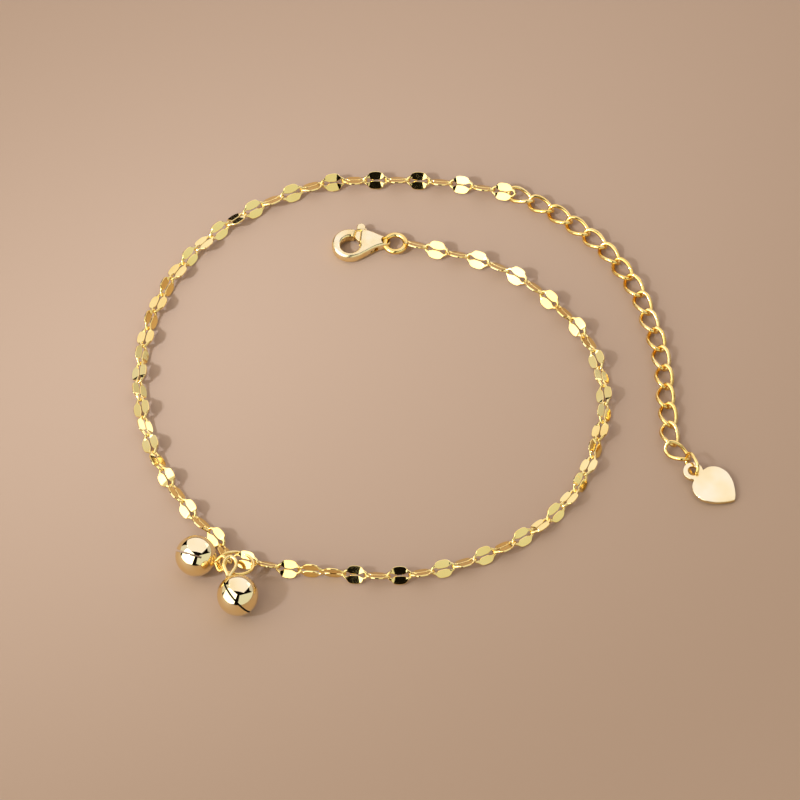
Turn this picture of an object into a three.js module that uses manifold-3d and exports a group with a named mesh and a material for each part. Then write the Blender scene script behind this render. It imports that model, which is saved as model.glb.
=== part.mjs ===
// Charm anklet, lying unclasped on a table: lip chain, two jingle bells on one jump ring,
// lobster clasp, curb-chain extender and a flat heart tag. Millimetres, +Z up.
// X runs along the front of the anklet, Y away from it, and Z = 0 is the table.
import * as THREE from "three";
import { mergeVertices } from "three/addons/utils/BufferGeometryUtils.js";
import Module from "manifold-3d";

const wasm = await Module();
wasm.setup();

// Driving dimensions
const lipChainWidth = 2.0;
const curbChainWidth = 2.2;
const curbChainThickness = 1.2;
const bellDiameter = 5.1;
const bellWall = 0.3;
const bellSlitWidth = 0.24;
const bellSlitReach = 0.42; // how far the slit runs past the bell's middle, as a share of its radius
const eyeWire = 0.34;
const bellRingDiameter = 4.26; // to the middle of the wire
const bellRingWire = 0.38;
const bellRingTilt = 18; // degrees
const bellRingHighSide = 248; // degrees from +X, towards the bells
const claspThickness = 1.5;
const claspSlot = 0.66;
const leverThickness = 0.5;
const tabThickness = 1.1;
const pinDiameter = 0.6;
const pinClearance = 0.07;
const claspRingDiameter = 2.6; // to the middle of the wire
const claspRingWire = 0.7;
const tagThickness = 0.5;
const tagEyeDiameter = 2.5;
const tagHoleDiameter = 1.3;
const heartLength = 5.6;
const heartHalfWidth = 2.65;
const tagLinkWire = 0.4;
const tagLinkLean = 62; // degrees, off lying flat
const tagLinkTurn = 72; // degrees clockwise from +X

// Where the pieces lie
const bellRingCentre = new THREE.Vector3(-24.15, -26.15, 1.9);
const claspCentre = new THREE.Vector3(-10.35, 22.7, 0); // middle of the claw's opening
const leverPivot = new THREE.Vector3(-7.7, 22.5, 0);
const claspRingCentre = new THREE.Vector3(-4.6, 23.05, claspThickness / 2);
const tagLinkCentre = new THREE.Vector3(32.15, -10.8, 1.05);
const heartTip = new THREE.Vector3(37.4, -15.8, 0.06);
const bells = [
  {
    name: "bell_left",
    centre: new THREE.Vector3(-29.1, -25.5, bellDiameter / 2),
    eyeDirection: new THREE.Vector3(0.94, -0.34, -0.11),
    eyeLength: 2.87,
    eyeWidth: 1.77,
    eyeRoll: 80,
    slitNormal: new THREE.Vector3(-0.26, -0.79, -0.54),
  },
  {
    name: "bell_right",
    centre: new THREE.Vector3(-23.9, -31.3, bellDiameter / 2),
    eyeDirection: new THREE.Vector3(-0.24, 0.97, 0.01),
    eyeLength: 2.61,
    eyeWidth: 1.96,
    eyeRoll: -47,
    slitNormal: new THREE.Vector3(-0.72, -0.35, -0.6),
  },
];

// The chains' routes over the table, from the bell ring or the lip chain outwards
const lipRouteLeft = [
  [-26.1, -23.2], [-26.6, -21.9], [-30.2, -17.6], [-33.0, -12.8], [-35.1, -7.7], [-36.2, -2.7],
  [-36.6, 1.3], [-36.4, 5.3], [-35.4, 10.7], [-33.4, 16.1], [-30.7, 20.6], [-27.1, 24.6],
  [-22.8, 28.0], [-17.9, 30.6], [-12.8, 32.3], [-7.0, 32.7], [-1.5, 32.6], [3.7, 32.0],
  [10.2, 30.6],
];
const lipRouteRight = [
  [-21.1, -25.2], [-17.5, -26.5], [-9.7, -27.3], [-3.9, -27.4], [1.4, -26.4], [6.4, -24.5],
  [11.1, -21.8], [15.2, -18.2], [18.3, -13.7], [20.2, -8.7], [21.4, -3.4], [21.5, -0.6],
  [20.7, 4.7], [18.5, 9.6], [14.8, 14.1], [10.8, 17.7], [6.0, 20.2], [0.6, 21.8], [-2.6, 22.8],
];
const curbRoute = [
  [10.6, 30.4], [13.5, 29.2], [15.8, 27.7], [18.2, 25.8], [20.4, 23.8], [22.3, 21.6],
  [24.0, 19.1], [25.4, 16.6], [26.5, 14.0], [27.3, 11.2], [28.1, 8.5], [28.7, 5.6],
  [29.0, 2.7], [29.1, -0.1], [29.4, -3.1], [29.4, -5.8], [29.9, -7.8], [30.9, -8.9],
];

function goldPlate(colour) {
  return new THREE.MeshStandardMaterial({ color: colour, metalness: 1, roughness: 0.14 });
}

function solidOf(geometry) {
  const bare = geometry.index ? geometry.toNonIndexed() : geometry.clone();
  bare.deleteAttribute("normal");
  bare.deleteAttribute("uv");
  const merged = mergeVertices(bare, 1e-4);
  return new wasm.Manifold(
    new wasm.Mesh({
      numProp: 3,
      vertProperties: merged.attributes.position.array,
      triVerts: new Uint32Array(merged.index.array),
    }),
  );
}

function geometryOf(solid) {
  const mesh = solid.getMesh();
  const geometry = new THREE.BufferGeometry();
  geometry.setAttribute("position", new THREE.BufferAttribute(mesh.vertProperties, 3));
  geometry.setIndex(new THREE.BufferAttribute(mesh.triVerts, 1));
  geometry.computeVertexNormals();
  return geometry;
}

function piece(name, geometry, colour) {
  const mesh = new THREE.Mesh(geometry, goldPlate(colour));
  mesh.name = name;
  return mesh;
}

// An eight-sided section, given its sizes across the route and upright.
function section(across, upright) {
  const corners = [];
  for (let side = 0; side < 8; side += 1) {
    const angle = ((side + 0.5) * Math.PI) / 4;
    const reach = 1 / Math.cos(Math.PI / 8);
    corners.push(
      new THREE.Vector2(
        (Math.cos(angle) * upright * reach) / 2,
        (Math.sin(angle) * across * reach) / 2,
      ),
    );
  }
  return new THREE.Shape(corners);
}

// A chain, made as one tube that lies on the table along its route.
function chain(name, route, width, thickness, steps) {
  const points = route.map(([x, y]) => new THREE.Vector3(x, y, thickness / 2));
  const path = new THREE.CatmullRomCurve3(points, false, "centripetal");
  const geometry = new THREE.ExtrudeGeometry(section(width, thickness), {
    steps,
    extrudePath: path,
  });
  return piece(name, geometry, "#e6c06a");
}

// A wire bent along a curve, with flat ends.
function wire(points, diameter, steps) {
  const path = new THREE.CatmullRomCurve3(points, false, "centripetal");
  return new THREE.ExtrudeGeometry(section(diameter, diameter), { steps, extrudePath: path });
}

// The bell's soldered eye: a wire that leaves the bell, swings round and comes back to it.
// It lies in its own XZ plane, with Z pointing away from the bell.
function bellEye(length, width) {
  const halfWidth = (width - eyeWire) / 2;
  const roundCentre = bellDiameter / 2 + length - width / 2;
  const foot = new THREE.Vector3(0.3, 0, (bellDiameter - bellWall) / 2);
  const points = [foot.clone().setX(-foot.x)];
  const steps = 10;
  for (let step = 0; step <= steps; step += 1) {
    const angle = Math.PI + 0.25 - (step / steps) * (Math.PI + 0.5);
    points.push(
      new THREE.Vector3(
        halfWidth * Math.cos(angle),
        0,
        roundCentre + halfWidth * Math.sin(angle),
      ),
    );
  }
  points.push(foot);
  return wire(points, eyeWire, 20);
}

// The slit's slab: thin along X, from below the bell to a little above its middle along Z.
function bellSlit() {
  const radius = bellDiameter / 2;
  const top = bellSlitReach * radius;
  const slab = new THREE.BoxGeometry(bellSlitWidth, bellDiameter * 1.2, radius * 1.2 + top);
  slab.translate(0, 0, (top - radius * 1.2) / 2);
  return slab;
}

// A jingle bell: a hollow ball on the table with a slit round its lower half and an eye on top.
function bell({ name, centre, eyeDirection, eyeLength, eyeWidth, eyeRoll, slitNormal }) {
  const axis = eyeDirection.clone().normalize();
  const across = slitNormal.clone().addScaledVector(axis, -slitNormal.dot(axis)).normalize();
  const frame = new THREE.Matrix4().makeBasis(across, axis.clone().cross(across), axis);
  const level = new THREE.Vector3(axis.y, -axis.x, 0).normalize();
  const eyeSide = level.applyAxisAngle(axis, THREE.MathUtils.degToRad(eyeRoll));
  const eyeFrame = new THREE.Matrix4().makeBasis(eyeSide, axis.clone().cross(eyeSide), axis);

  const outer = new THREE.SphereGeometry(bellDiameter / 2, 24, 14);
  const inner = new THREE.SphereGeometry(bellDiameter / 2 - bellWall, 20, 12);
  outer.rotateX(Math.PI / 2);
  inner.rotateX(Math.PI / 2);
  const solid = solidOf(outer)
    .add(solidOf(bellEye(eyeLength, eyeWidth).applyMatrix4(eyeFrame)))
    .subtract(solidOf(inner))
    .subtract(solidOf(bellSlit().applyMatrix4(frame)));
  const mesh = piece(name, geometryOf(solid), "#e8c66f");
  mesh.position.copy(centre);
  return mesh;
}

function bellRing() {
  const ring = new THREE.TorusGeometry(bellRingDiameter / 2, bellRingWire / 2, 8, 28);
  const mesh = piece("bell_ring", ring, "#ebc973");
  const highSide = THREE.MathUtils.degToRad(bellRingHighSide);
  const hinge = new THREE.Vector3(Math.sin(highSide), -Math.cos(highSide), 0);
  mesh.setRotationFromAxisAngle(hinge, THREE.MathUtils.degToRad(bellRingTilt));
  mesh.position.copy(bellRingCentre);
  return mesh;
}

// Clasp outlines are drawn about the middle of the claw's opening.
// The body runs from the claw's tip round the claw, along the spine to the tail and back.
function claspOutline() {
  const tipAngle = THREE.MathUtils.degToRad(72);
  const shape = new THREE.Shape();
  shape.absarc(0, 0, 2.27, tipAngle, THREE.MathUtils.degToRad(285), false);
  shape.bezierCurveTo(1.9, -1.85, 2.9, -0.3, 5.15, -0.2);
  shape.lineTo(5.15, 0.95);
  shape.bezierCurveTo(4.0, 1.1, 2.9, 2.2, 1.35, 2.3);
  shape.lineTo(1.2, 0.45);
  shape.absarc(0, -0.1, 1.32, 0.43, tipAngle, true);
  shape.closePath();
  return shape;
}

function plate(shape, thickness) {
  const geometry = new THREE.ExtrudeGeometry(shape, {
    depth: thickness,
    bevelEnabled: false,
    curveSegments: 10,
  });
  return geometry.translate(0, 0, (claspThickness - thickness) / 2);
}

function pinHole(clearance) {
  const radius = pinDiameter / 2 + clearance;
  const hole = new THREE.CylinderGeometry(radius, radius, claspThickness * 2, 16);
  const offset = leverPivot.clone().sub(claspCentre);
  return hole.rotateX(Math.PI / 2).translate(offset.x, offset.y, claspThickness / 2);
}

// The claw and the clasp's two cheeks, with the lever's slot between them and a cross hole in
// the tail for the ring.
function claspBody() {
  const slot = new THREE.BoxGeometry(2.75, 4.1, claspSlot);
  slot.translate(2.2, 1.05, claspThickness / 2);
  const tailHole = new THREE.CylinderGeometry(0.56, 0.56, 3, 20);
  tailHole.translate(4.53, 0.4, claspThickness / 2);
  const solid = solidOf(plate(claspOutline(), claspThickness))
    .subtract(solidOf(slot))
    .subtract(solidOf(pinHole(pinClearance)))
    .subtract(solidOf(tailHole));
  const mesh = piece("clasp_body", geometryOf(solid), "#f0d58c");
  mesh.position.copy(claspCentre);
  return mesh;
}

// The lever: a thin plate that pivots between the cheeks and closes the claw, and a thumb tab.
function claspLever() {
  const gate = new THREE.Shape();
  gate.moveTo(0.58, 1.2);
  gate.lineTo(1.12, 0.55);
  gate.absarc(2.65, -0.2, 0.62, Math.PI * 0.85, Math.PI * 2.1, false);
  gate.lineTo(2.3, 2.1);
  gate.lineTo(1.85, 2.95);
  gate.lineTo(1.0, 2.95);
  gate.lineTo(0.86, 2.1);
  gate.closePath();
  const tab = new THREE.Shape();
  tab.moveTo(0.92, 2.62);
  tab.lineTo(1.92, 2.62);
  tab.absarc(1.4, 2.86, 0.42, 0, Math.PI, false);
  tab.closePath();
  const solid = solidOf(plate(gate, leverThickness))
    .add(solidOf(plate(tab, tabThickness)))
    .subtract(solidOf(pinHole(pinClearance)));
  const mesh = piece("clasp_lever", geometryOf(solid), "#f2dc9c");
  mesh.position.copy(claspCentre);
  return mesh;
}

function claspPin() {
  const length = claspThickness - 0.06;
  const pin = new THREE.CylinderGeometry(pinDiameter / 2, pinDiameter / 2, length, 16);
  const mesh = piece("clasp_pin", pin.rotateX(Math.PI / 2), "#e0b85e");
  mesh.position.set(leverPivot.x, leverPivot.y, claspThickness / 2);
  return mesh;
}

function claspRing() {
  const ring = new THREE.TorusGeometry(claspRingDiameter / 2, claspRingWire / 2, 8, 24);
  const mesh = piece("clasp_ring", ring, "#e6bf68");
  mesh.position.copy(claspRingCentre);
  return mesh;
}

// The oval link that holds the tag, leaning over so that it passes under and over the tag's eye.
function tagLink() {
  const ring = new THREE.TorusGeometry(0.92, tagLinkWire / 2, 8, 24);
  const mesh = piece("tag_link", stretched(ring, 0.52), "#edcf7e");
  mesh.rotation.set(THREE.MathUtils.degToRad(tagLinkLean), 0, 0);
  const lean = new THREE.Group();
  lean.rotation.z = THREE.MathUtils.degToRad(-tagLinkTurn);
  lean.position.copy(tagLinkCentre);
  lean.add(mesh);
  return lean;
}

// Pulls the two halves of a ring apart along X, which gives it straight sides.
function stretched(ring, distance) {
  const position = ring.attributes.position;
  for (let index = 0; index < position.count; index += 1) {
    const x = position.getX(index);
    position.setX(index, x + distance * THREE.MathUtils.clamp(x / 0.25, -1, 1));
  }
  return ring;
}

// Heart outline with its tip at the origin, its lobes towards -X.
function heartOutline() {
  const back = -heartLength;
  const shape = new THREE.Shape();
  shape.moveTo(back + 0.3, 0);
  shape.bezierCurveTo(back + 0.15, 0.3, back, 0.65, back, 1.25);
  shape.bezierCurveTo(back, 2.05, back + 0.65, heartHalfWidth, back + 1.6, heartHalfWidth);
  shape.bezierCurveTo(back + 3.3, heartHalfWidth, -0.55, 1.3, -0.05, 0.3);
  shape.lineTo(0, 0);
  shape.lineTo(-0.05, -0.3);
  shape.bezierCurveTo(-0.55, -1.3, back + 3.3, -heartHalfWidth, back + 1.6, -heartHalfWidth);
  shape.bezierCurveTo(back + 0.65, -heartHalfWidth, back, -2.05, back, -1.25);
  shape.bezierCurveTo(back, -0.65, back + 0.15, -0.3, back + 0.3, 0);
  return shape;
}

function heartTag() {
  const eyeX = -heartLength - 0.85;
  const heart = new THREE.ExtrudeGeometry(heartOutline(), {
    depth: tagThickness,
    bevelEnabled: false,
    curveSegments: 10,
  });
  const eye = new THREE.CylinderGeometry(tagEyeDiameter / 2, tagEyeDiameter / 2, tagThickness, 28);
  eye.rotateX(Math.PI / 2).translate(eyeX, 0, tagThickness / 2);
  const hole = new THREE.CylinderGeometry(tagHoleDiameter / 2, tagHoleDiameter / 2, 3, 20);
  hole.rotateX(Math.PI / 2).translate(eyeX, 0, 0);
  const solid = solidOf(heart).add(solidOf(eye)).subtract(solidOf(hole));
  const mesh = piece("heart_tag", geometryOf(solid), "#fbefc6");
  mesh.rotation.y = THREE.MathUtils.degToRad(5);
  const turned = new THREE.Group();
  turned.rotation.z = THREE.MathUtils.degToRad(-37.5);
  turned.position.copy(heartTip);
  turned.add(mesh);
  return turned;
}

const anklet = new THREE.Group();
anklet.add(
  chain("lip_chain_left", lipRouteLeft, lipChainWidth, lipChainWidth, 30),
  chain("lip_chain_right", lipRouteRight, lipChainWidth, lipChainWidth, 30),
  chain("extender_chain", curbRoute, curbChainWidth, curbChainThickness, 20),
  ...bells.map(bell),
  bellRing(),
  claspBody(),
  claspLever(),
  claspPin(),
  claspRing(),
  tagLink(),
  heartTag(),
);

export default anklet;
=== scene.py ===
import math
import random

import bmesh
import bpy
from mathutils import Matrix, Vector


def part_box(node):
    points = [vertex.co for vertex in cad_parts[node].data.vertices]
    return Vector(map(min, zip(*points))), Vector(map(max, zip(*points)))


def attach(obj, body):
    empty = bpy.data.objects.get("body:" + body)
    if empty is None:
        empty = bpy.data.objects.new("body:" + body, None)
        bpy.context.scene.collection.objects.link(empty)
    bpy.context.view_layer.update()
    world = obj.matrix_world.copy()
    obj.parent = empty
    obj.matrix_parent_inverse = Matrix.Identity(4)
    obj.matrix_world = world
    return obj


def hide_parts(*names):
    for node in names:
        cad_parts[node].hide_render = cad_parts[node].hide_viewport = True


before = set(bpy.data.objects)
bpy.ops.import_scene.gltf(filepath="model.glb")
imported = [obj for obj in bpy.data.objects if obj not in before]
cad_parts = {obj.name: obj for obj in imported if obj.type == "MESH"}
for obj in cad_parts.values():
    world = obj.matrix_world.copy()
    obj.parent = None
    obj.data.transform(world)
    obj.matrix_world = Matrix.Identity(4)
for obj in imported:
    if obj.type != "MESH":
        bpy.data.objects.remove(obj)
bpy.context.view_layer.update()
mm = 0.001
random.seed(7)


def srgb(hexColour):
    # sRGB hex to the linear colour that the shaders take
    channels = [int(hexColour[place:place + 2], 16) / 255 for place in (1, 3, 5)]
    linear = [c / 12.92 if c <= 0.04045 else ((c + 0.055) / 1.055) ** 2.4 for c in channels]
    return (*linear, 1.0)


def addNode(tree, kind, settings=None, links=None):
    # one node with its settings, and the sockets or values that feed it
    node = tree.nodes.new(kind)
    for name, value in (settings or {}).items():
        setattr(node, name, value)
    for name, source in (links or {}).items():
        socket = node.inputs[name]
        if isinstance(source, bpy.types.NodeSocket):
            tree.links.new(source, socket)
        else:
            socket.default_value = source
    return node


def newMaterial(name):
    material = bpy.data.materials.new(name)
    material.use_nodes = True
    material.node_tree.nodes.clear()
    return material, material.node_tree


def newPiece(name, vertices, faces, material, slot, sharpAngle=34):
    # vertices in metres; smooth faces with sharp edges where the metal has an edge
    mesh = bpy.data.meshes.new(name)
    mesh.from_pydata([tuple(v) for v in vertices], [], faces)
    mesh.validate()
    return finishPiece(name, mesh, material, sharpAngle)


def finishPiece(name, mesh, material, sharpAngle=34, body="anklet"):
    mesh.polygons.foreach_set("use_smooth", [True] * len(mesh.polygons))
    mesh.set_sharp_from_angle(angle=math.radians(sharpAngle))
    mesh.materials.clear()
    mesh.materials.append(material)
    made = bpy.data.objects.new(name, mesh)
    bpy.context.scene.collection.objects.link(made)
    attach(made, body)
    return made


def alongPoints(points, share):
    # Catmull-Rom through points given as tuples, share running from 0 to 1
    last = len(points) - 1
    place = min(max(share, 0.0), 1.0) * last
    start = min(int(place), last - 1)
    t = place - start
    here, following = points[start], points[start + 1]
    before = points[start - 1] if start > 0 else tuple(2 * a - b for a, b in zip(here, following))
    after = points[start + 2] if start + 2 <= last else tuple(2 * b - a for a, b in zip(here, following))
    return tuple(
        0.5 * (2 * b + (c - a) * t + (2 * a - 5 * b + 4 * c - d) * t * t + (3 * b - a - 3 * c + d) * t ** 3)
        for a, b, c, d in zip(before, here, following, after)
    )


def evenPlaces(points, count, fineSteps=1200, window=12):
    # count places at even spacing along the curve, each with its direction
    fine = [Vector(alongPoints(points, i / fineSteps)) for i in range(fineSteps + 1)]
    run = [0.0]
    for a, b in zip(fine, fine[1:]):
        run.append(run[-1] + (b - a).length)
    places, cursor = [], 0
    for number in range(count):
        wanted = run[-1] * number / (count - 1)
        while cursor < fineSteps - 1 and run[cursor + 1] < wanted:
            cursor += 1
        part = (wanted - run[cursor]) / max(run[cursor + 1] - run[cursor], 1e-12)
        low, high = max(cursor - window, 0), min(cursor + window + 1, fineSteps)
        direction = (fine[high] - fine[low]).normalized()
        places.append((fine[cursor].lerp(fine[cursor + 1], part), direction))
    return places, run[-1] / (count - 1)


def closedTube(rings):
    # faces that join rings of points into a tube which closes on itself
    steps, sides = len(rings), len(rings[0])
    vertices = [point for ring in rings for point in ring]
    faces = []
    for i in range(steps):
        for j in range(sides):
            a, b = i * sides + j, i * sides + (j + 1) % sides
            c, d = ((i + 1) % steps) * sides + (j + 1) % sides, ((i + 1) % steps) * sides + j
            faces.append((a, b, c, d))
    return vertices, faces


def wireLoop(centres, wire, sides=20):
    # round wire of the given diameter along a closed list of points
    count = len(centres)
    middle = sum(centres, Vector()) / count
    rings = []
    for i, centre in enumerate(centres):
        tangent = (centres[(i + 1) % count] - centres[i - 1]).normalized()
        outward = centre - middle
        outward = (outward - tangent * outward.dot(tangent)).normalized()
        upward = tangent.cross(outward)
        rings.append([
            centre + (outward * math.cos(angle) + upward * math.sin(angle)) * wire / 2
            for angle in (2 * math.pi * j / sides for j in range(sides))
        ])
    return closedTube(rings)


def joinParts(parts):
    # several (vertices, faces) lists as one
    vertices, faces = [], []
    for partVertices, partFaces in parts:
        offset = len(vertices)
        vertices += partVertices
        faces += [tuple(index + offset for index in face) for face in partFaces]
    return vertices, faces


def placed(part, matrix):
    return [matrix @ vertex for vertex in part[0]], part[1]


def basis(xAxis, yAxis, zAxis, centre):
    return Matrix.Translation(centre) @ Matrix((xAxis, yAxis, zAxis)).transposed().to_4x4()


def platePiece(outlines, thickness, edge):
    # a flat plate with rounded edges, from its outline and the outlines of its holes
    curve = bpy.data.curves.new("plate", "CURVE")
    curve.dimensions = "2D"
    curve.fill_mode = "BOTH"
    for outline in outlines:
        spline = curve.splines.new("POLY")
        spline.points.add(len(outline) - 1)
        for point, (x, y) in zip(spline.points, outline):
            point.co = (x, y, 0, 1)
        spline.use_cyclic_u = True
    curve.extrude = thickness / 2 - edge
    curve.bevel_depth = edge
    curve.bevel_resolution = 4
    curve.offset = -edge
    holder = bpy.data.objects.new("plate", curve)
    bpy.context.scene.collection.objects.link(holder)
    bpy.context.view_layer.update()
    mesh = bpy.data.meshes.new_from_object(holder.evaluated_get(bpy.context.evaluated_depsgraph_get()))
    bpy.data.objects.remove(holder)
    bpy.data.curves.remove(curve)
    work = bmesh.new()
    work.from_mesh(mesh)
    bmesh.ops.remove_doubles(work, verts=work.verts, dist=1e-7)
    bmesh.ops.recalc_face_normals(work, faces=work.faces)
    work.to_mesh(mesh)
    work.free()
    return mesh


def cutFrom(mesh, cutters):
    # boolean difference with each closed (vertices, faces) cutter
    target = bpy.data.objects.new("target", mesh)
    bpy.context.scene.collection.objects.link(target)
    tools = []
    for vertices, faces in cutters:
        toolMesh = bpy.data.meshes.new("cutter")
        toolMesh.from_pydata([tuple(v) for v in vertices], [], faces)
        work = bmesh.new()
        work.from_mesh(toolMesh)
        bmesh.ops.recalc_face_normals(work, faces=work.faces)
        work.to_mesh(toolMesh)
        work.free()
        tool = bpy.data.objects.new("cutter", toolMesh)
        bpy.context.scene.collection.objects.link(tool)
        tools.append(tool)
        cut = target.modifiers.new("cut", "BOOLEAN")
        cut.operation = "DIFFERENCE"
        cut.solver = "EXACT"
        cut.object = tool
    bpy.context.view_layer.update()
    result = bpy.data.meshes.new_from_object(target.evaluated_get(bpy.context.evaluated_depsgraph_get()))
    for extra in tools + [target]:
        bpy.data.objects.remove(extra)
    return result


def boxPart(low, high):
    (lowX, lowY, lowZ), (highX, highY, highZ) = low, high
    corners = [Vector((x, y, z)) for x in (lowX, highX) for y in (lowY, highY) for z in (lowZ, highZ)]
    return corners, [(0, 1, 3, 2), (4, 6, 7, 5), (0, 4, 5, 1), (2, 3, 7, 6), (0, 2, 6, 4), (1, 5, 7, 3)]


def postPart(centre, radius, low, high, sides=40):
    vertices = [
        Vector((centre[0] + radius * math.cos(a), centre[1] + radius * math.sin(a), z))
        for z in (low, high) for a in (2 * math.pi * j / sides for j in range(sides))
    ]
    faces = [(j, (j + 1) % sides, sides + (j + 1) % sides, sides + j) for j in range(sides)]
    return vertices, faces + [tuple(reversed(range(sides))), tuple(range(sides, 2 * sides))]


# Gold plating over silver, from where it is thick to where it is thin. Broad bright faces look paler to the
# eye than thin wires of the same gold do. The inside tones are not plating but painted shade: dark brown
# for the hollow of a bell and the walls of its slit.
goldTones = {
    "face": ("#f2d38c", "#f8dfa2", "#fae6b4"),
    "lip": ("#f2cc72", "#f8d884", "#fae096"),
    "wire": ("#efc566", "#f6d076", "#f9da8c"),
    # painted shade for the hollow of a bell and the walls of its slit
    "inside": ("#2a1b0a", "#38250f", "#463016"),
}


def platedSilver(name, tones, patchSize, scratchSize, roughness, spread, dent):
    # Gold-plated silver. Electroplating gives the eye one even warm tone with faint drifts in its
    # depth, and what was done to the silver first gives the gloss: patchSize and scratchSize in mm
    # are the drifts and the finishing marks, dent is the marks' depth in mm.
    material, tree = newMaterial(name)
    place = addNode(tree, "ShaderNodeTexCoord")
    drift = addNode(tree, "ShaderNodeTexNoise", {"noise_dimensions": "3D"}, {
        "Vector": place.outputs["Object"], "Scale": 1 / (patchSize * mm), "Detail": 2.0, "Roughness": 0.5})
    tone = addNode(tree, "ShaderNodeValToRGB", None, {"Fac": drift.outputs["Fac"]})
    tone.color_ramp.elements[0].position = 0.3
    tone.color_ramp.elements[0].color = srgb(goldTones[tones][0])
    tone.color_ramp.elements[1].position = 0.72
    tone.color_ramp.elements[1].color = srgb(goldTones[tones][2])
    even = tone.color_ramp.elements.new(0.5)
    even.color = srgb(goldTones[tones][1])
    marks = addNode(tree, "ShaderNodeTexNoise", {"noise_dimensions": "3D"}, {
        "Vector": place.outputs["Object"], "Scale": 1 / (scratchSize * mm),
        "Detail": 3.0, "Roughness": 0.6})
    gloss = addNode(tree, "ShaderNodeMapRange", None, {
        "Value": marks.outputs["Fac"], "From Min": 0.3, "From Max": 0.7,
        "To Min": max(roughness - spread, 0.01), "To Max": roughness + spread})
    relief = addNode(tree, "ShaderNodeBump", None, {
        "Height": marks.outputs["Fac"], "Strength": 0.6, "Distance": dent * mm})
    shader = addNode(tree, "ShaderNodeBsdfPrincipled", None, {
        "Base Color": tone.outputs["Color"], "Metallic": 1.0,
        "Roughness": gloss.outputs["Result"], "Normal": relief.outputs["Normal"]})
    addNode(tree, "ShaderNodeOutputMaterial", None, {"Surface": shader.outputs["BSDF"]})
    return material


# Stamped between polished dies: mirror faces, so each lip shows one thing of the room.
stampedGold = platedSilver("silver lips stamped bright, gold plated", "lip", 6.0, 0.5, 0.06, 0.02, 0.0006)
# Spun and mirror polished: the bells carry a sharp picture of the lamps and the table.
spunGold = platedSilver(
    "silver bell spun and mirror polished, gold plated", "face", 5.0, 1.1, 0.035, 0.012, 0.0008)
# Drawn wire, tumbled after soldering: bright, with reflections a little drawn out.
drawnGold = platedSilver(
    "drawn silver wire tumbled bright, gold plated", "wire", 3.0, 0.35, 0.13, 0.03, 0.0012)
# Cast, then tumbled: the skin keeps a soft unevenness that melts the reflections together.
castGold = platedSilver("silver clasp cast and tumbled, gold plated", "face", 2.2, 0.6, 0.2, 0.05, 0.0045)
# Cut from sheet and flat lapped: the widest face of all, pale because it takes the whole lamp.
sheetGold = platedSilver(
    "silver tag cut from sheet and lapped, gold plated", "face", 4.0, 0.45, 0.17, 0.03, 0.001)
# Inside a bell the silver is left as spun, rough, and its dark brown tone is painted shade, so the slit
# looks dark.
paintedShadeInside = platedSilver(
    "silver as spun inside the bell, painted shade", "inside", 3.0, 0.3, 0.5, 0.08, 0.004)
print("materials made")


# Each link is one wire ring whose two sides are stamped into flat half moons, the lips. The
# table is a quarter of the ring from the middle of a lip to the link's end, in mm.
lipLink = {
    # along, across, half width, half thickness, flatness of the section
    "quarter": [
        (0.00, 0.605, 0.535, 0.105, 1.0),
        (0.34, 0.595, 0.525, 0.105, 1.0),
        (0.62, 0.555, 0.465, 0.108, 1.0),
        (0.83, 0.500, 0.330, 0.125, 0.85),
        (1.02, 0.450, 0.205, 0.160, 0.25),
        (1.30, 0.320, 0.170, 0.165, 0.0),
        (1.53, 0.000, 0.165, 0.165, 0.0),
    ],
    "samples": 13,        # steps in each quarter
    "edge": 0.05,         # the lips' rubbed edge
    "sitsAt": 1.0,        # height of the links' middle over the table
    "looseTurn": 3.0,     # degrees by which links differ from one another
}


def lipSection(halfWidth, halfThickness, flatness):
    flat = 1 - lipLink["edge"] / halfWidth
    square = [(1, 0), (1, 0.55), (flat, 1), (flat / 3, 1), (-flat / 3, 1), (-flat, 1), (-1, 0.55)]
    square += [(-x, -y) for x, y in square]
    corners = []
    for i, (x, y) in enumerate(square):
        angle = 2 * math.pi * i / len(square)
        corners.append((
            halfWidth * (x * flatness + math.cos(angle) * (1 - flatness)),
            halfThickness * (y * flatness + math.sin(angle) * (1 - flatness)),
        ))
    return corners


def makeLipLink():
    # one link in metres: X along the chain, Y across the lips, Z off their faces
    samples = lipLink["samples"]
    quarter = [alongPoints(lipLink["quarter"], i / samples) for i in range(samples)]
    end = lipLink["quarter"][-1]
    half = quarter + [end] + [(x, -y, w, h, f) for x, y, w, h, f in reversed(quarter[1:])]
    ring = half + [(-x, -y, w, h, f) for x, y, w, h, f in half]
    count = len(ring)
    rings = []
    for i, (x, y, halfWidth, halfThickness, flatness) in enumerate(ring):
        ahead, behind = ring[(i + 1) % count], ring[i - 1]
        tangent = Vector((ahead[0] - behind[0], ahead[1] - behind[1], 0)).normalized()
        outward = Vector((-tangent.y, tangent.x, 0))
        flatness = min(max(flatness, 0.0), 1.0)
        rings.append([
            (Vector((x, y, 0)) + outward * a + Vector((0, 0, b))) * mm
            for a, b in lipSection(halfWidth, halfThickness, flatness)
        ])
    return closedTube(rings)


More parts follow.
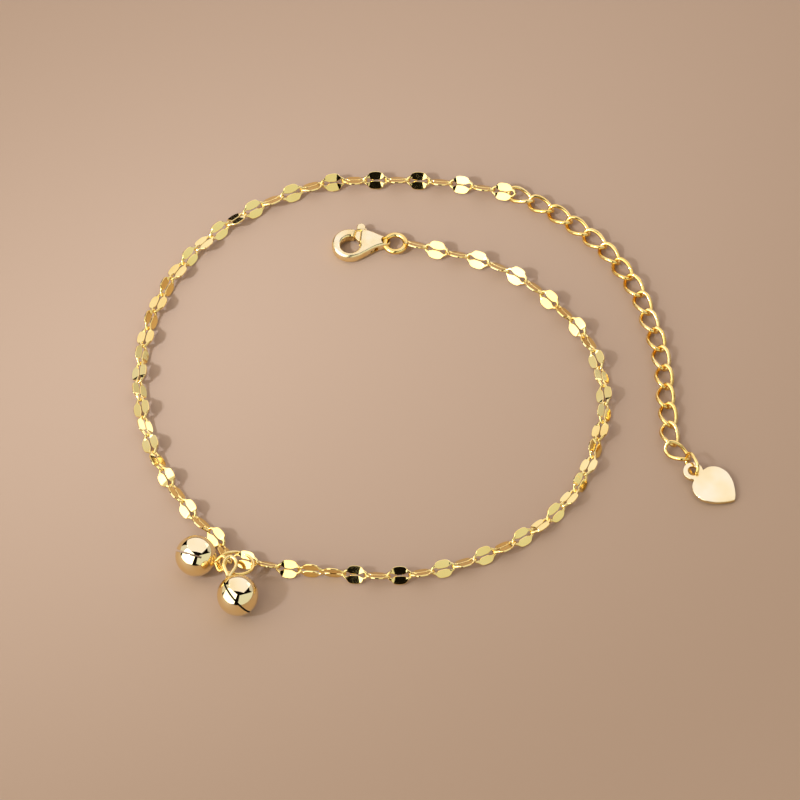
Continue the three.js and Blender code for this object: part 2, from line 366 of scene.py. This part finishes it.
def lipChain(name, route, count, rolls):
    # rolls are the turn of each link about the chain, in degrees, given by the number of the link
    link = makeLipLink()
    points = [(x * mm, y * mm, lipLink["sitsAt"] * mm) for x, y in route]
    places, pitch = evenPlaces(points, count)
    parts = []
    for number, (centre, direction) in enumerate(places):
        loose = lipLink["looseTurn"]
        yaw = math.radians(random.uniform(-loose, loose) * 0.5)
        roll = math.radians(rolls(number) + random.uniform(-loose, loose))
        along = (Matrix.Rotation(yaw, 3, "Z") @ direction).normalized()
        left = Vector((-along.y, along.x, 0)).normalized()
        up = Vector((0, 0, 1))
        normal = up * math.cos(roll) + left * math.sin(roll)
        # a link that stands on its edge is held up by it
        widest = lipLink["quarter"][0]
        stands = (widest[1] + widest[2]) * abs(math.sin(roll)) + widest[3] * abs(math.cos(roll))
        centre.z = max(lipLink["sitsAt"], stands) * mm
        parts.append(placed(link, basis(along, normal.cross(along), normal, centre)))
    piece = newPiece(name, *joinParts(parts), stampedGold, "chain_gold", 33)
    print(name, count, "links, pitch mm", round(pitch / mm, 3))
    return piece


def rollTable(rows, lean=37.5):
    # drifts given at a few links and eased between them; links lean to either side of them in turn
    def drift(number):
        for (first, before), (last, after) in zip(rows, rows[1:]):
            if number <= last:
                return before + (after - before) * (number - first) / (last - first)
        return rows[-1][1]
    return lambda number: drift(number) + (lean if number % 2 else -lean)


# The routes run from the bell ring over the table, in mm.
lipRouteLeft = [
    (-25.5, -24.16), (-26.6, -21.86), (-28.5, -19.76), (-30.2, -17.56), (-33.0, -12.76), (-35.1, -7.66),
    (-36.2, -2.66), (-36.6, 1.34), (-36.4, 5.34), (-35.4, 10.74), (-33.4, 16.14), (-30.7, 20.64),
    (-27.1, 24.64), (-22.8, 28.04), (-17.9, 30.64), (-12.8, 32.34), (-7.0, 32.74), (-1.5, 32.64),
    (3.7, 32.04), (9.15, 30.94),
]
lipRouteRight = [
    (-23.0, -25.1), (-20.2, -25.8), (-17.5, -26.46), (-9.7, -27.26), (-3.9, -27.36), (1.4, -26.36),
    (6.4, -24.46), (11.1, -21.76), (15.2, -18.16), (18.3, -13.66), (20.2, -8.66), (21.4, -3.36),
    (21.5, -0.56), (20.7, 4.74), (18.5, 9.64), (14.8, 14.14), (10.8, 17.74), (6.0, 20.24), (0.6, 21.84),
    (-2.0, 22.64),
]
chainLeft = lipChain("lip_chain_left_links", lipRouteLeft, 35, rollTable([
    (0, -3), (9, -3), (11, 1), (13, -17), (19, -15), (23, -4), (27, -5), (29, 0), (35, 0)]))
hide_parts("lip_chain_left")
chainRight = lipChain("lip_chain_right_links", lipRouteRight, 36, rollTable([
    (0, 22), (1, -11), (2, 14), (3, -134), (4, -46), (5, -90), (7, -90), (9, -95), (15, -97), (17, -103),
    (20, -103), (22, -92), (36, -90)], lean=52))
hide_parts("lip_chain_right")


curbLink = {
    "wire": 0.5,
    "length": 3.85,
    "width": 2.5,
    "twist": -42.0,       # degrees that each end is turned out of the middle's plane
    "sitsAt": 0.74,
    "count": 17,
}
curbRoute = [
    (11.4, 30.4), (13.5, 29.2), (15.8, 27.7), (18.2, 25.8), (20.4, 23.8), (22.3, 21.6),
    (24.0, 19.1), (25.4, 16.6), (26.5, 14.0), (27.3, 11.2), (28.1, 8.5), (28.7, 5.5),
    (29.05, 2.5), (29.15, -0.4), (29.45, -3.4), (29.6, -6.3), (30.5, -8.9),
]


def makeCurbLink():
    halfLength = (curbLink["length"] - curbLink["wire"]) / 2
    halfWidth = (curbLink["width"] - curbLink["wire"]) / 2
    centres = []
    for i in range(48):
        angle = 2 * math.pi * i / 48
        x = halfLength * math.copysign(abs(math.cos(angle)) ** 0.9, math.cos(angle))
        y = halfWidth * math.copysign(abs(math.sin(angle)) ** 0.8, math.sin(angle))
        turn = math.radians(curbLink["twist"]) * x / halfLength
        centres.append(Vector((x, y * math.cos(turn), y * math.sin(turn))) * mm)
    return wireLoop(centres, curbLink["wire"] * mm, 14)


def curbChain():
    link = makeCurbLink()
    points = [(x * mm, y * mm, curbLink["sitsAt"] * mm) for x, y in curbRoute]
    places, pitch = evenPlaces(points, curbLink["count"])
    parts = []
    for number, (centre, direction) in enumerate(places):
        if number == curbLink["count"] - 1:
            direction = Vector((0.8, -0.58, -0.12))  # the last link follows the tag
        yaw = math.radians(random.uniform(-3, 3))
        roll = math.radians(random.uniform(-6, 6))
        along = (Matrix.Rotation(yaw, 3, "Z") @ direction).normalized()
        left = Vector((-along.y, along.x, 0))
        normal = Vector((0, 0, math.cos(roll))) + left * math.sin(roll)
        parts.append(placed(link, basis(along, normal.cross(along), normal, centre)))
    print("curb chain pitch mm", round(pitch / mm, 3))
    return newPiece("extender_links", *joinParts(parts), drawnGold, "chain_gold", 60)


extender = curbChain()
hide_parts("extender_chain")


bellShell = {
    "diameter": 5.1,
    "wall": 0.3,
    "slitWidth": 0.24,
    "rim": 0.03,            # the slit's rubbed edge
    "rows": 40,             # on each half
    "columns": 120,
    "eyeWire": 0.47,
    "eyeSunk": 0.1,         # how deep the eye's ends are soldered into the wall
    # the eye's half outline: shares of its length from the bell and of its half width
    "eyeDrop": [(0.0, 0.22), (0.14, 0.2), (0.32, 0.52), (0.52, 0.9), (0.68, 1.0), (0.85, 0.82),
                (0.96, 0.42), (1.0, 0.0)],
}
bells = [
    {
        "name": "bell_left",
        "axis": (0.94, -0.34, -0.11),     # from the bell's middle to its eye
        "slitNormal": (-0.283, -0.80, -0.529),
        "slitStartsAt": 67.0,             # degrees from the axis
        "eyeFoot": (0.93, -0.36, 0.02),
        "eyeAlong": (0.96, -0.28, 0.0),
        "eyeAcross": (0.25, 0.75, 0.6),
        "eyeLength": 1.6,
        "eyeWidth": 2.3,
    },
    {
        "name": "bell_right",
        "axis": (-0.36, 0.93, 0.03),      # the slit stops short of the eye
        "slitNormal": (-0.757, -0.379, -0.534),
        "slitStartsAt": 57.0,
        "eyeFoot": (-0.47, 0.84, 0.28),
        "eyeAlong": (0.09, 0.97, 0.2),
        "eyeAcross": (0.974, -0.225, 0.0),
        "eyeLength": 3.1,
        "eyeWidth": 2.0,
    },
]


def bellShellPart(slitStartsAt):
    # the ball as two spun halves joined over the top, Z towards the eye and X across the slit
    radius = bellShell["diameter"] / 2 * mm
    edge = math.asin(bellShell["slitWidth"] / 2 * mm / radius)
    start = math.radians(slitStartsAt)
    columns = bellShell["columns"]
    bridge = 2 * round(start / (2 * math.pi) * columns)
    around = [-start + 2 * start * i / bridge for i in range(bridge + 1)]
    rest = columns - bridge
    around += [start + (2 * math.pi - 2 * start) * i / rest for i in range(1, rest)]
    rows = bellShell["rows"]
    lifts = [edge + (math.pi / 2 - edge) * i / rows for i in range(rows)]
    vertices, faces = [], []

    def point(lift, angle, side, reach):
        return Vector((
            side * reach * math.sin(lift),
            reach * math.cos(lift) * math.sin(angle),
            reach * math.cos(lift) * math.cos(angle),
        ))

    grids = {}
    for side in (1, -1):
        for skin, reach in (("outer", radius), ("inner", radius - bellShell["wall"] * mm)):
            low = len(vertices)
            for lift in lifts:
                vertices.extend(point(lift, angle, side, reach) for angle in around)
            vertices.append(Vector((side * reach, 0, 0)))
            grids[side, skin] = low
            out = (side > 0) == (skin == "outer")
            for row in range(rows):
                for column in range(columns):
                    following = (column + 1) % columns
                    a = low + row * columns + column
                    b = low + row * columns + following
                    if row == rows - 1:
                        face = (a, b, low + rows * columns)
                    else:
                        face = (a, b, b + columns, a + columns)
                    faces.append(face if out else tuple(reversed(face)))
    for column in range(columns):
        following = (column + 1) % columns
        right, left = grids[1, "outer"], grids[-1, "outer"]
        rightIn, leftIn = grids[1, "inner"], grids[-1, "inner"]
        if column < bridge:
            faces.append((left + column, left + following, right + following, right + column))
            faces.append((rightIn + column, rightIn + following, leftIn + following, leftIn + column))
        else:
            faces.append((right + following, right + column, rightIn + column, rightIn + following))
            faces.append((left + column, left + following, leftIn + following, leftIn + column))
    for column, turned in ((0, False), (bridge, True)):
        wall = (
            grids[1, "outer"] + column, grids[-1, "outer"] + column,
            grids[-1, "inner"] + column, grids[1, "inner"] + column,
        )
        faces.append(tuple(reversed(wall)) if turned else wall)
    return vertices, faces


def bellEyePart(bell):
    # a drop-shaped wire loop, its two ends soldered side by side to the bell
    wire = bellShell["eyeWire"]
    along = Vector(bell["eyeAlong"]).normalized()
    across = Vector(bell["eyeAcross"])
    across = (across - along * across.dot(along)).normalized()
    foot = Vector(bell["eyeFoot"]).normalized() * (bellShell["diameter"] / 2 - bellShell["eyeSunk"])
    length, halfWidth = bell["eyeLength"] - wire / 2, (bell["eyeWidth"] - wire) / 2
    half = [alongPoints(bellShell["eyeDrop"], i / 24) for i in range(25)]
    outline = half + [(x, -y) for x, y in reversed(half[:-1])]
    centres = [(foot + along * x * length + across * y * halfWidth) * mm for x, y in outline]
    return wireLoop(centres, wire * mm, 20)


def makeBell(bell):
    across = Vector(bell["slitNormal"]).normalized()
    axis = Vector(bell["axis"])
    axis = (axis - across * axis.dot(across)).normalized()
    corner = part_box(bell["name"])[0]
    centre = corner + Vector((1, 1, 1)) * bellShell["diameter"] / 2 * mm
    shell = placed(bellShellPart(bell["slitStartsAt"]), basis(across, axis.cross(across), axis, centre))
    eye = placed(bellEyePart(bell), Matrix.Translation(centre))
    made = newPiece(bell["name"] + "_polished", *shell, spunGold, "bell_gold", 40)
    made.data.materials.append(paintedShadeInside)
    # what lies below the outer third of the wall is the slit's sides and the inside, which take the painted
    # shade material
    skin = (bellShell["diameter"] / 2 - bellShell["wall"] * 0.3) * mm
    for face in made.data.polygons:
        if (face.center - centre).length < skin:
            face.material_index = 1
    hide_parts(bell["name"])
    soldered = newPiece(bell["name"] + "_eye", *eye, drawnGold, "bell_gold", 60)
    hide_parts(bell["name"])


for bell in bells:
    makeBell(bell)

bellRing = {
    "diameter": 4.26,
    "wire": 0.4,
    "tilt": 18,
    "highSide": 248,
}


def ringCentres(diameter, steps=72, stretch=0.0):
    # a circle, or an oval whose halves are pulled apart along X
    centres = []
    for i in range(steps):
        angle = 2 * math.pi * i / steps
        x, y = diameter / 2 * math.cos(angle), diameter / 2 * math.sin(angle)
        pull = stretch * min(max(x / 0.25, -1), 1)
        centres.append(Vector((x + pull, y, 0)) * mm)
    return centres


def nodeMiddle(node):
    low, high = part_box(node)
    return (low + high) / 2


def makeBellRing():
    high = math.radians(bellRing["highSide"])
    hinge = Vector((math.sin(high), -math.cos(high), 0))
    turn = Matrix.Rotation(math.radians(bellRing["tilt"]), 4, hinge)
    part = placed(
        wireLoop(ringCentres(bellRing["diameter"]), bellRing["wire"] * mm),
        Matrix.Translation(nodeMiddle("bell_ring")) @ turn,
    )
    made = newPiece("bell_jump_ring", *part, drawnGold, "chain_gold", 60)
    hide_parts("bell_ring")


makeBellRing()
print("bells made")


clasp = {
    "thickness": 1.5,
    "clawRadius": 2.27,
    "edge": 0.48,           # roundness of the casting's edges
    "slot": 0.66,
    "leverThickness": 0.5,
    "tabThickness": 1.1,
    "pivot": (2.65, -0.2),  # from the middle of the claw's opening
    "leverEdge": 0.07,
    "tabEdge": 0.22,
    "slotAlong": (0.83, 3.57),
    "slotAcross": (-1.0, 3.1),
    "tailHole": (4.53, 0.4),
    "tailHoleRadius": 0.56,
    "ringDiameter": 2.6,
    "ringWire": 0.7,
}


def arcPoints(centre, radius, start, end, steps):
    return [
        (centre[0] + radius * math.cos(a), centre[1] + radius * math.sin(a))
        for a in (start + (end - start) * i / steps for i in range(steps + 1))
    ]


def bezierPoints(a, b, c, d, steps=24):
    points = []
    for i in range(1, steps + 1):
        t = i / steps
        points.append(tuple(
            (1 - t) ** 3 * p + 3 * (1 - t) ** 2 * t * q + 3 * (1 - t) * t * t * r + t ** 3 * s
            for p, q, r, s in zip(a, b, c, d)
        ))
    return points


def inMetres(outline):
    return [(x * mm, y * mm) for x, y in outline]


def softened(outline, reach, step=0.05):
    # the outline at even steps, its corners rounded by about the reach, in mm
    closed = outline + outline[:1]
    run = [0.0]
    for a, b in zip(closed, closed[1:]):
        run.append(run[-1] + math.dist(a, b))
    count = int(run[-1] / step)
    even, cursor = [], 0
    for i in range(count):
        wanted = run[-1] * i / count
        while run[cursor + 1] < wanted:
            cursor += 1
        part = (wanted - run[cursor]) / max(run[cursor + 1] - run[cursor], 1e-9)
        even.append(tuple(p + (q - p) * part for p, q in zip(closed[cursor], closed[cursor + 1])))
    width = max(round(reach / step / 2), 1)
    for _ in range(2):
        even = [
            tuple(sum(even[(i + k) % count][axis] for k in range(-width, width + 1)) / (2 * width + 1)
                  for axis in (0, 1))
            for i in range(count)
        ]
    return even


def claspOutline():
    tip, tail = math.radians(67), math.radians(285)
    outline = arcPoints((0, 0), clasp["clawRadius"], tip, tail, 60)
    outline += bezierPoints(outline[-1], (1.9, -1.85), (2.9, -0.3), (5.0, -0.2))
    outline += bezierPoints((5.0, -0.2), (5.2, -0.15), (5.2, 0.9), (5.0, 0.95), 8)
    outline += bezierPoints((5.0, 0.95), (4.0, 1.1), (2.9, 2.2), (1.35, 2.3))
    outline.append((1.2, 0.45))
    outline += arcPoints((0.05, -0.22), 1.22, 0.5, -2 * math.pi + tip, 60)
    return outline


def leverOutline():
    outline = [(0.58, 1.2), (1.12, 0.55)]
    outline += arcPoints(clasp["pivot"], 0.62, math.pi * 0.85, math.pi * 2.1, 24)
    return outline + [(2.3, 2.1), (1.85, 2.95), (1.0, 2.95), (0.86, 2.1)]


def makeClasp():
    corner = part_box("clasp_body")[0]
    reach = clasp["clawRadius"] * mm
    centre = Vector((corner.x + reach, corner.y + reach, clasp["thickness"] / 2 * mm))
    slotHalf = clasp["slot"] / 2 * mm
    (slotLeft, slotRight), (slotNear, slotFar) = clasp["slotAlong"], clasp["slotAcross"]
    tailHole = inMetres([clasp["tailHole"]])[0]
    casting = platePiece(
        [inMetres(softened(claspOutline(), 0.3))], clasp["thickness"] * mm, clasp["edge"] * mm)
    body = cutFrom(casting, [
        boxPart((slotLeft * mm, slotNear * mm, -slotHalf), (slotRight * mm, slotFar * mm, slotHalf)),
        postPart(tailHole, clasp["tailHoleRadius"] * mm, -mm, mm),
    ])
    body.transform(Matrix.Translation(centre))
    made = finishPiece("clasp_cast_body", body, castGold, 34)
    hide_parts("clasp_body")

    gate = platePiece(
        [inMetres(softened(leverOutline(), 0.12))], clasp["leverThickness"] * mm, clasp["leverEdge"] * mm)
    tabOutline = [(0.86, 2.1), (1.98, 2.1)] + arcPoints((1.42, 2.6), 0.56, 0.0, math.pi, 20)
    tab = platePiece([inMetres(tabOutline)], clasp["tabThickness"] * mm, clasp["tabEdge"] * mm)
    work = bmesh.new()
    for part in (gate, tab):
        work.from_mesh(part)
    lever = bpy.data.meshes.new("lever")
    work.to_mesh(lever)
    work.free()
    lever.transform(Matrix.Translation(centre))
    made = finishPiece("clasp_cast_lever", lever, castGold, 34, "lever")
    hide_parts("clasp_lever")

    ring = placed(
        wireLoop(ringCentres(clasp["ringDiameter"]), clasp["ringWire"] * mm, 24),
        Matrix.Translation(nodeMiddle("clasp_ring")),
    )
    made = newPiece("clasp_wire_ring", *ring, drawnGold, "chain_gold", 60)
    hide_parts("clasp_ring")
    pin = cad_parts["clasp_pin"]
    for place in pin.material_slots:
        place.material = drawnGold


makeClasp()
print("clasp made")


tag = {
    "thickness": 0.5,
    "edge": 0.07,
    # half of the heart from the eye to the tip
    "halfHeart": [(-5.62, 0.9), (-5.50, 1.45), (-5.15, 2.0), (-4.4, 2.5), (-3.3, 2.62), (-2.4, 2.33),
                  (-1.6, 1.84), (-0.85, 1.15), (-0.3, 0.5), (0.0, 0.0)],
    "eyeX": -6.5,
    "eyeRadius": 1.25,
    "holeRadius": 0.65,
    "turn": -37.5,
    "tilt": 5,
    "linkWire": 0.42,
    "linkDiameter": 1.84,
    "linkStretch": 0.52,
    "linkTurn": -68,
    "linkRoll": 66,
    "linkShift": (0.1, -0.15, 0.12),   # from the middle of its node
}


def heartOutline():
    # the heart's tip is at the origin and its eye lies towards -X
    eyeX, eye = tag["eyeX"], tag["eyeRadius"]
    upper = [alongPoints(tag["halfHeart"], i / 80) for i in range(81)]
    lower = [(x, -y) for x, y in reversed(upper[:-1])]
    meet = math.acos((tag["halfHeart"][0][0] - eyeX) / eye)
    loop = arcPoints((eyeX, 0), eye, -meet, meet - 2 * math.pi, 60)
    outline = softened(upper + lower + loop[1:-1], 0.25)
    return outline, arcPoints((eyeX, 0), tag["holeRadius"], 0, 2 * math.pi, 48)[:-1]


def makeTag():
    plate = platePiece([inMetres(o) for o in heartOutline()], tag["thickness"] * mm, tag["edge"] * mm)
    low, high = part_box("heart_tag")
    plate.transform(
        Matrix.Rotation(math.radians(tag["turn"]), 4, "Z")
        @ Matrix.Rotation(math.radians(tag["tilt"]), 4, "Y")
        @ Matrix.Translation((0, 0, tag["thickness"] / 2 * mm))
    )
    sizes = [v.co for v in plate.vertices]
    own = Vector(tuple((min(c[k] for c in sizes) + max(c[k] for c in sizes)) / 2 for k in range(3)))
    plate.transform(Matrix.Translation((low + high) / 2 - own))
    made = finishPiece("heart_tag_plate", plate, sheetGold, 30)
    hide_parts("heart_tag")

    link = placed(
        wireLoop(ringCentres(tag["linkDiameter"], 72, tag["linkStretch"]), tag["linkWire"] * mm),
        Matrix.Translation(nodeMiddle("tag_link") + Vector(tag["linkShift"]) * mm)
        @ Matrix.Rotation(math.radians(tag["linkTurn"]), 4, "Z")
        @ Matrix.Rotation(math.radians(tag["linkRoll"]), 4, "X"),
    )
    made = newPiece("tag_oval_link", *link, drawnGold, "chain_gold", 60)
    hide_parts("tag_link")


makeTag()
print("tag made")


stage = {
    "card": "#a5835e",
    "cardSitsAt": -0.02 * mm,
    "roomColour": "#2a2622",
    "roomStrength": 0.25,
    "size": 2.4,
    "aim": Vector((-4.0 * mm, -0.5 * mm, 0)),
    "cameraElevation": 55.5,
    "cameraDistance": 1.0,
    "lens": 360,
}


def paperCard():
    # Uncoated card: calendered paper scatters light evenly, with a fine tooth that only just shows.
    material, tree = newMaterial("uncoated card, calendered")
    place = addNode(tree, "ShaderNodeTexCoord")
    tooth = addNode(tree, "ShaderNodeTexNoise", None, {
        "Vector": place.outputs["Object"], "Scale": 1 / (0.6 * mm), "Detail": 3.0, "Roughness": 0.6})
    relief = addNode(tree, "ShaderNodeBump", None, {
        "Height": tooth.outputs["Fac"], "Strength": 0.25, "Distance": 0.02 * mm})
    shader = addNode(tree, "ShaderNodeBsdfPrincipled", None, {
        "Base Color": srgb(stage["card"]), "Roughness": 0.75, "Normal": relief.outputs["Normal"]})
    addNode(tree, "ShaderNodeOutputMaterial", None, {"Surface": shader.outputs["BSDF"]})
    return material


def makeTable():
    half = stage["size"] / 2
    mesh = bpy.data.meshes.new("table_card")
    corners = [(-half, -half, 0), (half, -half, 0), (half, half, 0), (-half, half, 0)]
    mesh.from_pydata(corners, [], [(0, 1, 2, 3)])
    mesh.materials.append(paperCard())
    card = bpy.data.objects.new("table_card", mesh)
    bpy.context.scene.collection.objects.link(card)
    card.location.z = stage["cardSitsAt"]


# Three big soft boxes stand round the table with narrow gaps between them: one over the back,
# one at the front left, the brightest, and one at the front right. Two smaller ones stand behind
# them at the sides. Distances and sizes are in metres.
softBoxes = [
    {"name": "back", "towards": (0.10, 0.60, 0.79), "distance": 0.8, "size": (1.75, 1.85), "spin": 0,
     "radiance": 1.45, "colour": "#dfe2ff"},
    {"name": "front_left", "towards": (-0.7125, -0.471, 0.522), "distance": 0.8, "size": (1.15, 1.06),
     "spin": 12.8, "radiance": 3.0, "colour": "#e7f0ff"},
    {"name": "front_right", "towards": (0.788, -0.584, 0.1935), "distance": 0.8, "size": (1.73, 0.95),
     "spin": -35.7, "radiance": 0.95, "colour": "#edf7ff"},
    {"name": "wall_left", "towards": (-0.87, 0.36, 0.34), "distance": 1.1, "size": (0.61, 0.85),
     "spin": 0, "radiance": 1.0, "colour": "#e7ecff"},
    {"name": "wall_right", "towards": (0.84, 0.50, 0.20), "distance": 1.1, "size": (0.8, 0.5),
     "spin": 0, "radiance": 0.8, "colour": "#e7ecff"},
]


def makeSoftBox(box):
    width, height = box["size"]
    light = bpy.data.lights.new(box["name"], "AREA")
    light.shape = "RECTANGLE"
    light.size, light.size_y = width, height
    light.color = srgb(box["colour"])[:3]
    light.energy = box["radiance"] * math.pi * width * height
    lamp = bpy.data.objects.new(box["name"], light)
    bpy.context.scene.collection.objects.link(lamp)
    direction = Vector(box["towards"]).normalized()
    facing = direction.to_track_quat("Z", "Y").to_matrix().to_4x4()
    spin = Matrix.Rotation(math.radians(box["spin"]), 4, "Z")
    lamp.matrix_world = Matrix.Translation(direction * box["distance"]) @ facing @ spin
    lamp.visible_camera = False


windowPatch = {
    # a round lamp in front of the front left box, whose soft pool lights the left of the table
    "towards": (-0.66, -0.38, 0.62),
    "distance": 0.76,
    "aim": Vector((-34 * mm, 11 * mm, 0)),
    "radius": 0.045,
    "spread": 8.6,    # degrees
    "power": 52.0,
    "colour": "#b9cfff",
}


def makeWindowPatch():
    light = bpy.data.lights.new("window_patch", "SPOT")
    light.energy = windowPatch["power"]
    light.color = srgb(windowPatch["colour"])[:3]
    light.shadow_soft_size = windowPatch["radius"]
    light.spot_size = math.radians(windowPatch["spread"])
    light.spot_blend = 1.0
    lamp = bpy.data.objects.new("window_patch", light)
    bpy.context.scene.collection.objects.link(lamp)
    lamp.location = Vector(windowPatch["towards"]).normalized() * windowPatch["distance"]
    lamp.rotation_euler = (lamp.location - windowPatch["aim"]).to_track_quat("Z", "Y").to_euler()
    lamp.visible_camera = False


def makeCamera():
    elevation = math.radians(stage["cameraElevation"])
    camera = bpy.data.cameras.new("camera")
    camera.lens = stage["lens"]
    camera.sensor_width = 36
    camera.clip_start, camera.clip_end = 0.05, 20
    holder = bpy.data.objects.new("camera", camera)
    bpy.context.scene.collection.objects.link(holder)
    back = Vector((0, -math.cos(elevation), math.sin(elevation)))
    holder.location = stage["aim"] + back * stage["cameraDistance"]
    holder.rotation_euler = back.to_track_quat("Z", "Y").to_euler()
    bpy.context.scene.camera = holder


def makeRoom():
    world = bpy.data.worlds.new("room")
    world.use_nodes = True
    background = world.node_tree.nodes["Background"]
    background.inputs["Color"].default_value = srgb(stage["roomColour"])
    background.inputs["Strength"].default_value = stage["roomStrength"]
    bpy.context.scene.world = world
    bpy.context.scene.view_settings.view_transform = "Standard"


makeTable()
for box in softBoxes:
    makeSoftBox(box)
makeWindowPatch()
makeCamera()
makeRoom()
print("stage made")
